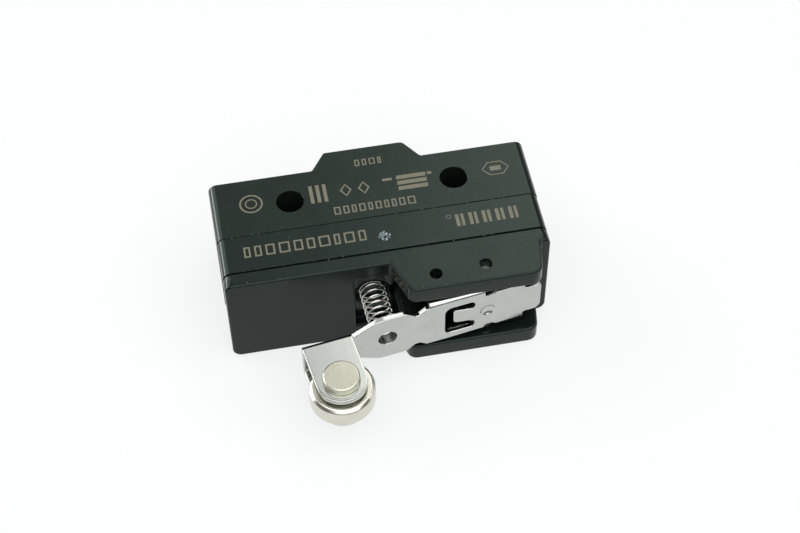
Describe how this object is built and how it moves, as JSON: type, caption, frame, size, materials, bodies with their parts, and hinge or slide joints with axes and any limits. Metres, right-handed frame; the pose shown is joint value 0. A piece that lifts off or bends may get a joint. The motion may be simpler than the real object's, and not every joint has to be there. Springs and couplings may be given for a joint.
{
  "type": "limit switch",
  "caption": "Black snap-action basic switch with a bent steel hinge lever, return spring, metal roller and screw terminals.",
  "frame": {"origin": "midway between the two mounting holes, on the face that lies on the mounting surface", "axes": "+Z along the mounting holes, away from the mounting surface; -Y towards the lever and roller, +Y towards the screw terminals; +X towards the lever's hinge"},
  "size_m": [0.0494, 0.0475, 0.0174],
  "materials": {
    "case_plastic": "black moulded phenolic, fine grain, satin gloss",
    "cover_plastic": "black moulded phenolic, satin gloss",
    "plunger_plastic": "black moulded plastic, polished",
    "lever_steel": "bright stamped stainless steel with fine rolling grain",
    "roller_steel": "turned steel, satin",
    "pin_steel": "ground steel",
    "spring_steel": "drawn stainless spring wire",
    "screw_steel": "nickel-plated steel",
    "terminal_brass": "stamped brass, lightly tarnished",
    "contact_silver": "silver contact alloy, satin",
    "blade_copper": "rolled beryllium-copper strip"
  },
  "bodies": {
    "body": {"case": "case_plastic", "cover": "cover_plastic", "lever_housing": "cover_plastic", "assembly_screws": "screw_steel", "hinge_pin": "pin_steel", "return_spring": "spring_steel", "com_terminal": "terminal_brass", "no_terminal": "terminal_brass", "nc_terminal": "terminal_brass", "blade_rivet": "terminal_brass", "no_contact": "contact_silver", "nc_contact": "contact_silver"},
    "lever": {"lever": "lever_steel", "roller_rivet": "roller_steel"},
    "roller": {"roller": "roller_steel"},
    "plunger": {"plunger": "plunger_plastic"},
    "moving_blade": {"contact_blade": "blade_copper", "snap_spring": "blade_copper", "moving_contact": "contact_silver"},
    "com_washer": {"com_washer": "screw_steel"},
    "com_screw": {"com_screw": "screw_steel"},
    "no_washer": {"no_washer": "screw_steel"},
    "no_screw": {"no_screw": "screw_steel"},
    "nc_washer": {"nc_washer": "screw_steel"},
    "nc_screw": {"nc_screw": "screw_steel"}
  },
  "joints": [
    {"name": "lever_pivot", "type": "hinge", "parent": "body", "child": "lever", "pos_m": [0.01403, -0.01735, 0.00873], "axis": [0, 0, -1], "range_deg": [0, 10], "stiffness_Nm_per_rad": 0.126, "springref_deg": -6.36, "deforming": ["return_spring"]},
    {"name": "roller_spin", "type": "hinge", "parent": "lever", "child": "roller", "pos_m": [-0.00989, -0.03005, 0.00873], "axis": [0, 0, 1], "continuous": true},
    {"name": "plunger_slide", "type": "slide", "parent": "body", "child": "plunger", "axis": [0, 1, 0], "range_m": [0, 0.002]},
    {"name": "contact_swing", "type": "hinge", "parent": "body", "child": "moving_blade", "pos_m": [-0.0156, -0.0065, 0.00873], "axis": [0, 0, 1], "range_deg": [0, 1], "deforming": ["contact_blade", "snap_spring"]},
    {"name": "com_washer_lift", "type": "slide", "parent": "body", "child": "com_washer", "axis": [0, 1, 0], "range_m": [0, 0.0021]},
    {"name": "com_screw_turn", "type": "hinge", "parent": "com_washer", "child": "com_screw", "pos_m": [-0.0195, 0.00698, 0.00873], "axis": [0, 1, 0], "range_deg": [0, 1080]},
    {"name": "no_washer_lift", "type": "slide", "parent": "body", "child": "no_washer", "axis": [0, 1, 0], "range_m": [0, 0.0021]},
    {"name": "no_screw_turn", "type": "hinge", "parent": "no_washer", "child": "no_screw", "pos_m": [0, 0.01028, 0.00873], "axis": [0, 1, 0], "range_deg": [0, 1080]},
    {"name": "nc_washer_lift", "type": "slide", "parent": "body", "child": "nc_washer", "axis": [0, 1, 0], "range_m": [0, 0.0021]},
    {"name": "nc_screw_turn", "type": "hinge", "parent": "nc_washer", "child": "nc_screw", "pos_m": [0.0195, 0.00698, 0.00873], "axis": [0, 1, 0], "range_deg": [0, 1080]}
  ],
  "couplings": [
    {"joint": "plunger_slide", "follows": "lever_pivot", "m_per_rad": 0.01138},
    {"joint": "contact_swing", "follows": "lever_pivot", "ratio": 0.0975},
    {"joint": "com_screw_turn", "follows": "com_washer_lift", "rad_per_m": 8976},
    {"joint": "no_screw_turn", "follows": "no_washer_lift", "rad_per_m": 8976},
    {"joint": "nc_screw_turn", "follows": "nc_washer_lift", "rad_per_m": 8976}
  ]
}
